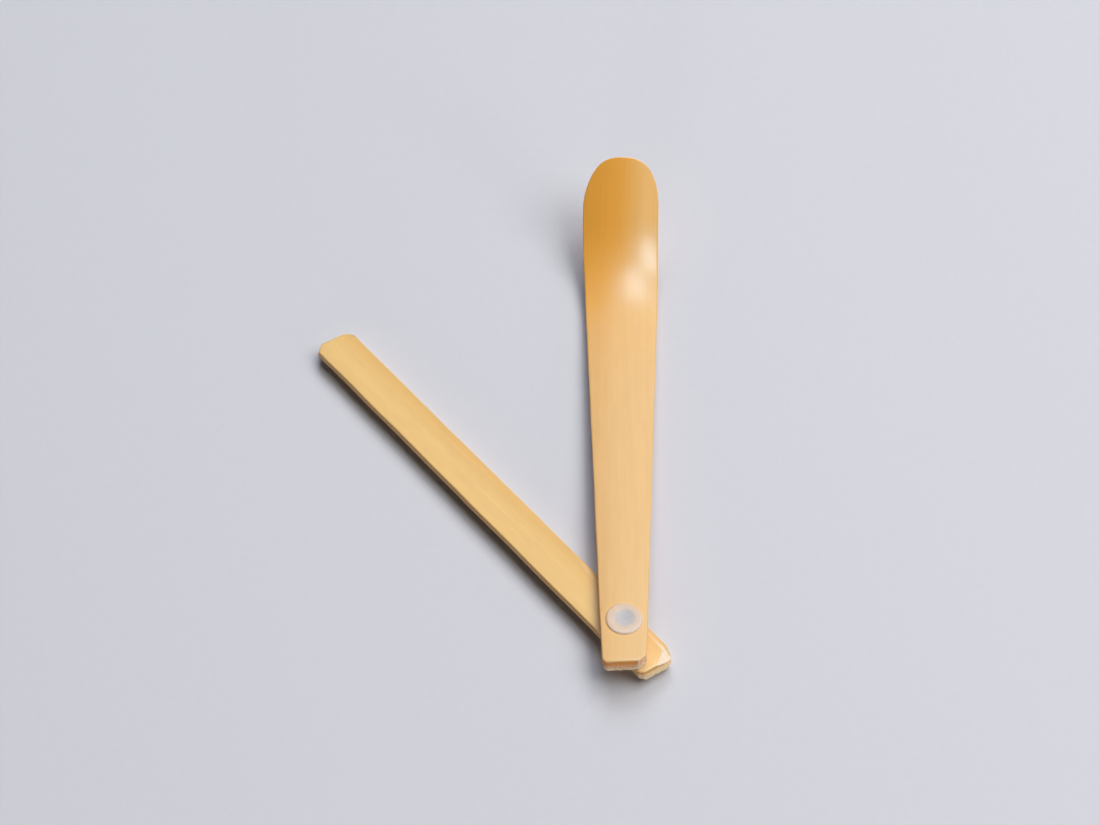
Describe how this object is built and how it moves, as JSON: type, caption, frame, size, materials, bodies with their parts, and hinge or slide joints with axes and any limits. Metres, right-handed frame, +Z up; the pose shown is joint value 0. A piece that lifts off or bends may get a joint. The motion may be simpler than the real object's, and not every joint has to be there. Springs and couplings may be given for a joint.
{
  "type": "folding tea scoop",
  "caption": "Folding bamboo tea scoop: a tapered blade with an upturned rounded scoop and a flat handle arm, turning on a plastic rivet.",
  "frame": {"origin": "on the pivot's axis, at the flat underside of the rivet's lower head", "axes": "+Z up the pivot, square to both arms; +Y along the scoop blade from the pivot to the scoop; the handle arm lies turned from +Y towards -X"},
  "size_m": [0.0649, 0.1041, 0.0194],
  "materials": {
    "bamboo_blade": "smooth satin bamboo skin, toasted at the bend",
    "bamboo_handle": "smooth satin bamboo skin",
    "rivet_nylon": "natural translucent moulded nylon"
  },
  "bodies": {
    "handle": {"handle_arm": "bamboo_handle", "rivet_stud": "rivet_nylon", "rivet_socket": "rivet_nylon"},
    "blade": {"scoop_blade": "bamboo_blade"}
  },
  "joints": [
    {"name": "pivot", "type": "hinge", "parent": "handle", "child": "blade", "pos_m": [0, 0, 0.00435], "axis": [0, 0, 1], "continuous": true}
  ]
}
